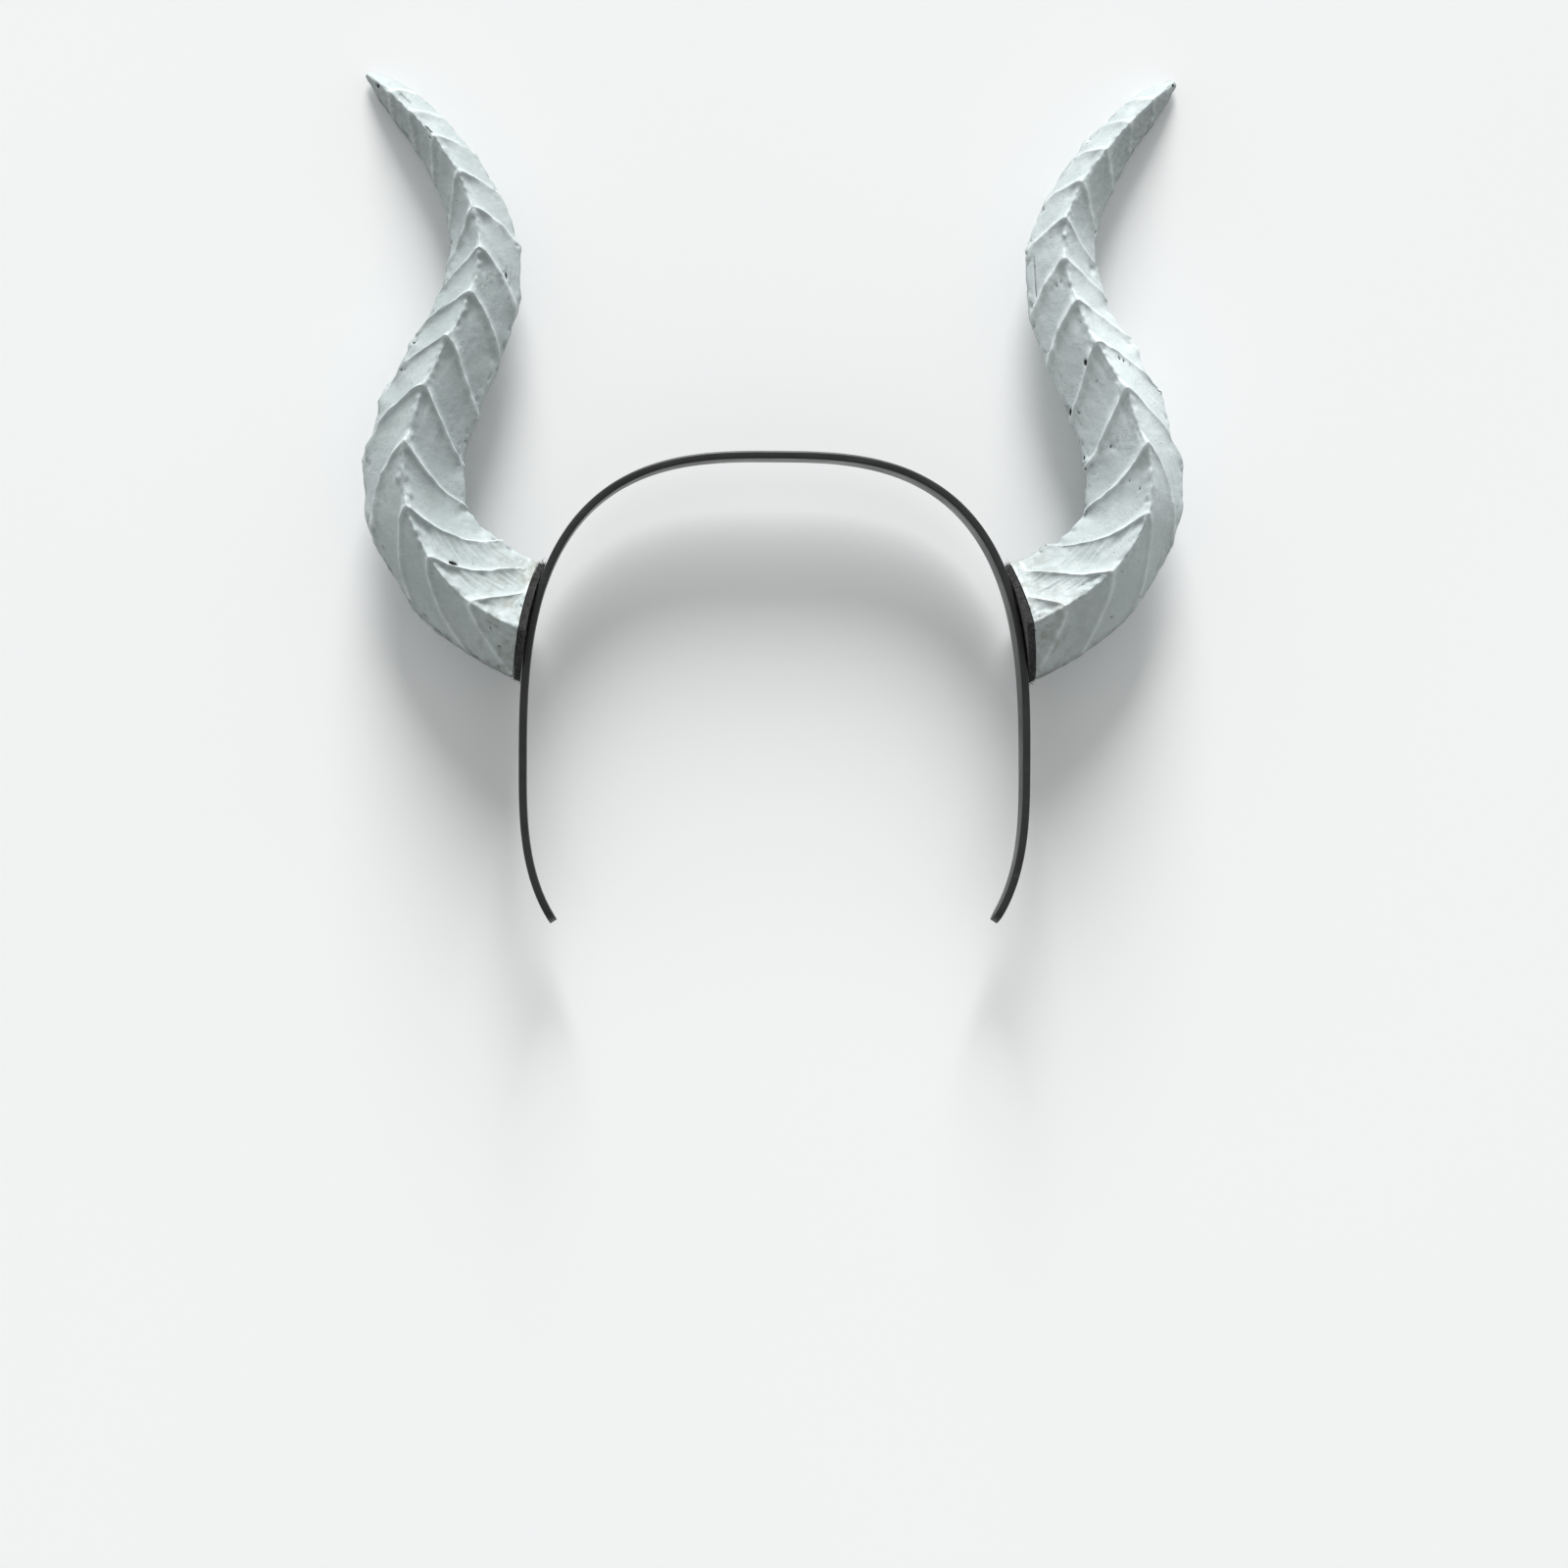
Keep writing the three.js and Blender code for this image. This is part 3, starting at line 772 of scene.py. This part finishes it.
def horn_grid(horn):
    """A horn's points in rows, and what its material needs to know at each of them."""
    stops = stops_round()
    rows = horn_rows(horn, stops)
    along = np.stack([row.along for row in rows])
    points = rounded(wall(horn, stops, along, np.stack([row.swell for row in rows])), CORNER_ROUNDING)
    normals = outward(points)
    strokes = np.stack([row.stroke for row in rows])
    relief = surface_relief(horn, stops, points) + edge_cuts(horn, stops, along) + strokes
    points += normals * relief[..., None]
    dark = np.maximum(add_patches(horn, points, normals), add_flaws(horn, points, normals))
    steps = np.linalg.norm(np.diff(points, axis=1, prepend=points[:, -1:]), axis=2)
    flow = np.stack((along, np.cumsum(steps, axis=1), 0 * along + horn.seed), axis=-1)
    cap = foot_cap(points[0], FOOT_CLEARANCE)
    dome = tip_dome(points[-1])
    ends = ((len(cap), len(dome)), (0, 0))
    masks = {name: np.pad(mask, ends) for name, mask in horn_masks(horn, stops, rows, dark).items()}
    masks["flow"] = np.pad(flow, ends + ((0, 0),), mode="edge")
    return np.concatenate((cap, points, dome)), masks


def pad_grids(horn):
    """A felt pad's points in rows, from its inner middle to its outer one, and those of its fibres."""
    stops = stops_round()
    inside = foot_along(horn, stops, PAD_INSIDE)
    outside = foot_along(horn, stops, PAD_OUTSIDE)
    rows = []
    for share in np.linspace(0, 1, PAD_ROWS):
        rows.append(wall(horn, stops, inside + (outside - inside) * share, 0))
    points = rounded(np.stack(rows), CORNER_ROUNDING)
    normals = outward(points)
    points += normals * (PAD_FUZZ * noise_at(points, PAD_FUZZ_GRAIN, horn.seed))[..., None]
    lower = foot_cap(points[0], PAD_INSIDE)
    upper = foot_cap(points[-1], PAD_OUTSIDE)
    fibres = rim_fibres(points.reshape(-1, 3), normals.reshape(-1, 3), int(horn.seed))
    return [np.concatenate((lower, points, upper[::-1]))] + fibres


def rim_fibres(rim, normals, seed):
    """Loose fibres that stand out of a pad's rim, each a thin curved tube."""
    draw = np.random.default_rng(seed)
    high = np.flatnonzero(rim[:, 2] > FIBRE_LOWEST)
    run = np.linspace(0, 1, FIBRE_STEPS)[:, None]
    fibres = []
    for spot in draw.choice(high, FIBRE_COUNT):
        way = normals[spot] + draw.normal(0, FIBRE_SPREAD, 3)
        way /= np.linalg.norm(way)
        bend = draw.normal(0, FIBRE_CURL, 3)
        length = draw.uniform(FIBRE_SHORTEST, FIBRE_LONGEST)
        fibres.append(thread(rim[spot] + length * (way * run + bend * run**2), way))
    return fibres


def thread(line, way):
    """A thin tube along a line, in rows that narrow towards its far end."""
    side = np.cross(way, (0, 0, 1))
    side /= np.linalg.norm(side)
    turns = np.linspace(0, 2 * math.pi, FIBRE_SIDES, endpoint=False)[:, None]
    ring = FIBRE_RADIUS * (np.cos(turns) * side + np.sin(turns) * np.cross(way, side))
    narrowing = np.linspace(1, FIBRE_END_SHARE, len(line))[:, None, None]
    return line[:, None] + ring * narrowing


def hoop_half_width(from_end):
    """Half the hoop's width at each length from its nearer end."""
    taper = np.minimum(from_end / HOOP_TAPER_RUN, 1)
    half = (HOOP_END_WIDTH + (HOOP_WIDTH - HOOP_END_WIDTH) * taper) / 2
    inset = np.maximum(1 - from_end / (HOOP_END_WIDTH / 2), 0)
    return half * np.sqrt(1 - inset**2)


def hoop_corners():
    """One trip round the hoop's section, as corner signs and how far each corner has turned."""
    turns = np.linspace(0, math.pi / 2, HOOP_CORNER_STEPS + 1)
    trip = []
    for quarter, (front, out) in enumerate(((1, 1), (-1, 1), (-1, -1), (1, -1))):
        for turn in turns + quarter * math.pi / 2:
            trip.append((front, out, math.cos(turn), math.sin(turn)))
    return np.array(trip).T


def hoop_grid():
    """The hoop's points in rows, from its right end to its left end."""
    points, normals, lengths = hoop_line(HOOP_ROWS)
    front, out, front_turn, out_turn = hoop_corners()
    half_width = hoop_half_width(np.minimum(lengths, lengths[-1] - lengths))[:, None]
    half_width = np.maximum(half_width, HOOP_THINNEST)
    radius = np.minimum(HOOP_ROUNDING, half_width)
    z = front * (half_width - radius) + front_turn * radius
    outwards = out * (HOOP_THICKNESS / 2 - radius) + out_turn * radius
    sideways = points[:, None] + normals[:, None] * outwards[..., None]
    return np.concatenate((sideways, z[..., None]), axis=-1)


def among_solids(points, mirror):
    """Moves points from their own frame to where the solids lie, in metres and not under the floor."""
    low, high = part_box("headband")
    moved = points * MM
    moved[..., 0] *= -1 if mirror else 1
    moved[..., 1] += high.y - HOOP_CROWN * MM
    moved[..., 2] += (low.z + high.z) / 2
    moved[..., 2] = np.maximum(moved[..., 2], CAD_BOX[0].z)
    return moved


def set_attribute(mesh, name, values):
    """Keeps a value or a vector for each of a mesh's points."""
    vector = values.ndim == 3
    kind = "FLOAT_VECTOR" if vector else "FLOAT"
    flat = values.reshape(-1, 3) if vector else values.reshape(-1)
    ends = np.zeros((2, 3)) if vector else np.zeros(2)
    attribute = mesh.attributes.new(name, kind, "POINT")
    data = np.concatenate((flat, ends)).ravel().astype(np.float32)
    attribute.data.foreach_set("vector" if vector else "value", data)


def grid_faces(count, around, first):
    """Faces over rows of points, each one trip round, with a fan over each end."""
    here = np.arange(around) + first
    after = np.roll(here, -1)
    faces = []
    for low in range(0, (count - 1) * around, around):
        high = low + around
        faces += np.stack((low + here, low + after, high + after, high + here), axis=1).tolist()
    last = (count - 1) * around
    middle = first + count * around
    faces += [[middle, b, a] for a, b in zip(here.tolist(), after.tolist())]
    faces += [[middle + 1, last + a, last + b] for a, b in zip(here.tolist(), after.tolist())]
    return faces


def skin(name, grids, mirror):
    """A piece made of closed skins, one over each grid's rows of points."""
    corners = []
    faces = []
    for grid in grids:
        rows = among_solids(grid, mirror)
        faces += grid_faces(rows.shape[0], rows.shape[1], len(corners))
        corners += rows.reshape(-1, 3).tolist()
        corners += [rows[0].mean(axis=0).tolist(), rows[-1].mean(axis=0).tolist()]
    if mirror:
        faces = [face[::-1] for face in faces]
    mesh = bpy.data.meshes.new(name)
    mesh.from_pydata(corners, [], faces)
    mesh.polygons.foreach_set("use_smooth", [True] * len(faces))
    mesh.set_sharp_from_angle(angle=SMOOTH_ANGLE)
    piece = bpy.data.objects.new(name, mesh)
    bpy.context.scene.collection.objects.link(piece)
    return piece


class Shading:
    """A material's node tree, with short ways to add and join nodes."""

    def __init__(self, name):
        self.material = bpy.data.materials.new(name)
        self.material.use_nodes = True
        self.tree = self.material.node_tree
        self.surface = self.tree.nodes["Principled BSDF"]

    def put(self, socket, value):
        if isinstance(value, bpy.types.NodeSocket):
            self.tree.links.new(value, socket)
        else:
            socket.default_value = value

    def add(self, kind, inputs, **settings):
        node = self.tree.nodes.new(kind)
        for key, value in settings.items():
            setattr(node, key, value)
        for key, value in inputs.items():
            self.put(node.inputs[key], value)
        return node

    def attribute(self, name, output="Fac"):
        return self.add("ShaderNodeAttribute", {}, attribute_name=name).outputs[output]

    def place(self):
        return self.add("ShaderNodeTexCoord", {}).outputs["Object"]

    def stretched(self, vector, scale):
        return self.add("ShaderNodeMapping", {"Vector": vector, "Scale": scale}).outputs["Vector"]

    def noise(self, vector, scale, detail=3.0, roughness=0.55):
        inputs = {"Vector": vector, "Scale": scale, "Detail": detail, "Roughness": roughness}
        return self.add("ShaderNodeTexNoise", inputs).outputs["Fac"]

    def span(self, value, low, high, to_low=0.0, to_high=1.0):
        inputs = {"Value": value, "From Min": low, "From Max": high, "To Min": to_low, "To Max": to_high}
        return self.add("ShaderNodeMapRange", inputs).outputs["Result"]

    def cells(self, vector, scale):
        return self.add("ShaderNodeTexVoronoi", {"Vector": vector, "Scale": scale}).outputs

    def times(self, a, b):
        return self.add("ShaderNodeMath", {0: a, 1: b}, operation="MULTIPLY").outputs[0]

    def mix(self, factor, a, b):
        return self.add("ShaderNodeMix", {0: factor, 6: a, 7: b}, data_type="RGBA").outputs[2]

    def bump(self, height, strength, distance, normal=None):
        inputs = {"Height": height, "Strength": strength, "Distance": distance}
        if normal is not None:
            inputs["Normal"] = normal
        return self.add("ShaderNodeBump", inputs).outputs["Normal"]

    def set(self, **inputs):
        for key, value in inputs.items():
            self.put(self.surface.inputs[key.replace("_", " ")], value)


Grains = namedtuple("Grains", "cloud blotch mottle rough strokes pinholes")


def paint_grains(shade):
    """The noises that the paint's colours and bumps share, from clouds down to pinholes."""
    place = shade.place()
    cloud = shade.noise(place, 45.0)
    blotch = shade.noise(place, 190.0, 5.0, 0.6)
    mottle = shade.noise(place, 700.0)
    grit = shade.span(shade.noise(place, 1500.0, 2.0), 0.48, 0.72, 0.0, 0.4)
    rough = shade.times(grit, shade.span(blotch, 0.38, 0.6))
    flow = shade.stretched(shade.attribute("flow", "Vector"), (0.12, 1.4, 1.0))
    strokes = shade.noise(flow, 1.0, 4.0)
    cells = shade.cells(place, 300.0)
    pricked = shade.times(shade.span(cells["Color"], 0.62, 0.64), shade.span(cloud, 0.45, 0.55))
    pinholes = shade.times(shade.span(cells["Distance"], 0.04, 0.09, 1.0, 0.0), pricked)
    return Grains(cloud, blotch, mottle, rough, strokes, pinholes)


def clean_paint(shade, grains):
    """The paint's colour: clouded, daubed, mottled, brushed and gritty, and paler where light is painted
    on.
    """
    colour = shade.mix(shade.span(grains.cloud, 0.35, 0.65), PAINT_DEEP, PAINT_LIGHT)
    colour = shade.mix(shade.span(grains.blotch, 0.45, 0.7, 0.0, 0.45), colour, PAINT_DAUB)
    colour = shade.mix(shade.span(grains.mottle, 0.4, 0.7, 0.0, 0.22), colour, PAINT_MOTTLE)
    colour = shade.mix(shade.span(grains.strokes, 0.55, 0.8, 0.0, 0.15), colour, PAINT_STROKE)
    # Painted light: paler paint about the middle of the right horn
    colour = shade.mix(shade.attribute("pale"), colour, PAINTED_LIGHT_COLOUR)
    return shade.mix(grains.rough, colour, PAINT_GRIT)


def used_paint(shade, grains, colour):
    """Wears the lips bright with a painted highlight, paints shade under the lips, on the outer side
    towards the tip and in the pinholes and holes, and lays grime and stains over the paint.
    """
    # Worn paint and a painted highlight along each lip's crest
    worn = shade.times(shade.attribute("crest"), shade.span(grains.blotch, 0.35, 0.6, 0.3, 0.85))
    colour = shade.mix(worn, colour, PAINT_WORN_AND_HIGHLIGHT)
    # Painted shade under the lips and on the outer side towards the tip
    shaded = shade.times(shade.attribute("soil"), shade.span(grains.mottle, 0.4, 0.65, 0.12, 0.28))
    colour = shade.mix(shaded, colour, PAINTED_SHADE)
    grubby = shade.times(shade.attribute("grime"), shade.span(grains.blotch, 0.35, 0.6, 0.2, 0.8))
    colour = shade.mix(grubby, colour, GRIME)
    spread = shade.span(shade.noise(shade.place(), 240.0, 5.0), 0.46, 0.68, 0.0, 0.75)
    colour = shade.mix(shade.times(shade.attribute("stain"), spread), colour, STAIN)
    # Painted shade in the pinholes, and in the holes and dents of the flaws and patches
    colour = shade.mix(grains.pinholes, colour, PINHOLE_SHADE)
    return shade.mix(shade.span(shade.attribute("hole"), 0.3, 0.45), colour, HOLE_SHADE)


def paint_bumps(shade, grains):
    """The paint's fine unevenness, one grain over another."""
    normal = shade.bump(grains.rough, 0.2, 0.0004)
    normal = shade.bump(grains.mottle, 0.15, 0.0004, normal)
    normal = shade.bump(grains.blotch, 0.32, 0.0008, normal)
    normal = shade.bump(grains.strokes, 0.08, 0.0005, normal)
    whole = shade.span(grains.pinholes, 0.0, 1.0, 1.0, 0.0)
    return shade.bump(whole, 0.5, 0.0004, normal)


def horn_paint():
    """Pale satin paint over cast foam, worn, grimy and stained, with highlights, shade and light painted
    on.
    """
    shade = Shading("horn_paint_cast")
    grains = paint_grains(shade)
    colour = used_paint(shade, grains, clean_paint(shade, grains))
    gloss = shade.span(shade.noise(shade.place(), 180.0), 0.3, 0.7, 0.42, 0.58)
    normal = paint_bumps(shade, grains)
    shade.set(Base_Color=colour, Roughness=gloss, Normal=normal, Specular_IOR_Level=0.45)
    return shade.material


def hoop_plastic():
    """Black moulded plastic with a fine grain, faint scuffs and uneven gloss."""
    shade = Shading("hoop_plastic")
    place = shade.place()
    grain = shade.noise(place, 2600.0, 2.0)
    haze = shade.noise(place, 70.0)
    scuffs = shade.noise(shade.stretched(place, (60.0, 900.0, 900.0)), 1.0, 4.0)
    colour = shade.mix(shade.span(haze, 0.35, 0.7), PLASTIC_DEEP, PLASTIC_HAZE)
    colour = shade.mix(shade.span(scuffs, 0.62, 0.75, 0.0, 0.35), colour, PLASTIC_SCUFF)
    gloss = shade.span(haze, 0.3, 0.7, 0.34, 0.5)
    shade.set(Base_Color=colour, Roughness=gloss, Normal=shade.bump(grain, 0.2, 0.0001))
    return shade.material


def pad_felt():
    """Black felt: matted fibres that catch a little light."""
    shade = Shading("pad_felt")
    place = shade.place()
    fibres = shade.noise(shade.stretched(place, (900.0, 2600.0, 1500.0)), 1.0, 5.0, 0.7)
    crossing = shade.noise(shade.stretched(place, (2600.0, 800.0, 2000.0)), 1.0, 5.0, 0.7)
    colour = shade.mix(shade.span(fibres, 0.4, 0.75), FELT_DEEP, FELT_LIGHT)
    matted = shade.bump(crossing, 0.7, 0.0006, shade.bump(fibres, 0.8, 0.0006))
    shade.set(Base_Color=colour, Roughness=0.95, Sheen_Weight=0.25, Sheen_Roughness=0.5, Normal=matted)
    return shade.material


def floor_finish():
    """A plain pale floor with a faint drift of tone."""
    shade = Shading("floor_finish")
    tone = shade.noise(shade.place(), 3.0, 2.0)
    shade.set(Base_Color=shade.mix(tone, FLOOR_COOL, FLOOR_WARM), Roughness=0.8)
    return shade.material


def dress(piece, node, material):
    """Lets a piece stand for a solid: gives it a material, hangs it on the root and hides the solid."""
    piece.data.materials.append(material)
    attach(piece, "root")
    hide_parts(node)


def make_horns():
    paint = horn_paint()
    for horn in HORNS:
        rows, masks = horn_grid(horn)
        piece = skin(horn.node + "_cast", [rows], horn.mirror)
        for name, values in masks.items():
            set_attribute(piece.data, name, values)
        dress(piece, horn.node, paint)


def make_pads():
    felt = pad_felt()
    for horn in HORNS:
        node = horn.node.replace("horn", "pad")
        pad = skin(node + "_felt", pad_grids(horn), horn.mirror)
        dress(pad, node, felt)


def make_hoop():
    dress(skin("headband_hoop", [hoop_grid()], False), "headband", hoop_plastic())


def make_floor():
    level = CAD_BOX[0].z
    size = FLOOR_HALF_SIZE
    mesh = bpy.data.meshes.new("floor")
    corners = [(-size, -size, level), (size, -size, level), (size, size, level), (-size, size, level)]
    mesh.from_pydata(corners, [], [(0, 1, 2, 3)])
    mesh.materials.append(floor_finish())
    floor = bpy.data.objects.new("floor", mesh)
    bpy.context.scene.collection.objects.link(floor)


def make_key_light():
    key = bpy.data.lights.new("key", "SUN")
    key.energy = KEY_STRENGTH
    key.angle = KEY_SPREAD
    lamp = bpy.data.objects.new("key", key)
    lamp.rotation_euler = (KEY_ELEVATION - math.pi / 2, 0, 0)
    bpy.context.scene.collection.objects.link(lamp)


def make_fill_light():
    """Light from all round, stronger from over the crown."""
    world = bpy.data.worlds.new("studio")
    world.use_nodes = True
    nodes = world.node_tree.nodes
    links = world.node_tree.links
    way = nodes.new("ShaderNodeTexCoord")
    parts = nodes.new("ShaderNodeSeparateXYZ")
    fade = nodes.new("ShaderNodeMapRange")
    fade.inputs["From Min"].default_value = -1.0
    fade.inputs["To Min"].default_value = FILL_BELOW
    fade.inputs["To Max"].default_value = FILL_ABOVE
    nodes["Background"].inputs["Color"].default_value = FILL_COLOUR
    links.new(way.outputs["Generated"], parts.inputs["Vector"])
    links.new(parts.outputs["Y"], fade.inputs["Value"])
    links.new(fade.outputs["Result"], nodes["Background"].inputs["Strength"])
    bpy.context.scene.world = world


def make_camera():
    low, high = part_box("headband")
    pivot = Vector((0, high.y + (CAMERA_PIVOT_UP - HOOP_CROWN) * MM, (low.z + high.z) / 2))
    turn = Matrix.Rotation(-CAMERA_YAW, 4, "Y") @ Matrix.Rotation(-CAMERA_ROLL, 4, "Z")
    away = Matrix.Translation(Vector((CAMERA_ASIDE, -CAMERA_DOWN, CAMERA_DISTANCE)) * MM)
    lens = bpy.data.cameras.new("camera")
    lens.lens = LENS
    lens.sensor_width = SENSOR
    camera = bpy.data.objects.new("camera", lens)
    camera.matrix_world = Matrix.Translation(pivot) @ turn @ away
    bpy.context.scene.collection.objects.link(camera)
    bpy.context.scene.camera = camera


bpy.context.scene.view_settings.view_transform = "Standard"
make_camera()
make_key_light()
make_fill_light()
make_floor()
make_hoop()
make_pads()
make_horns()
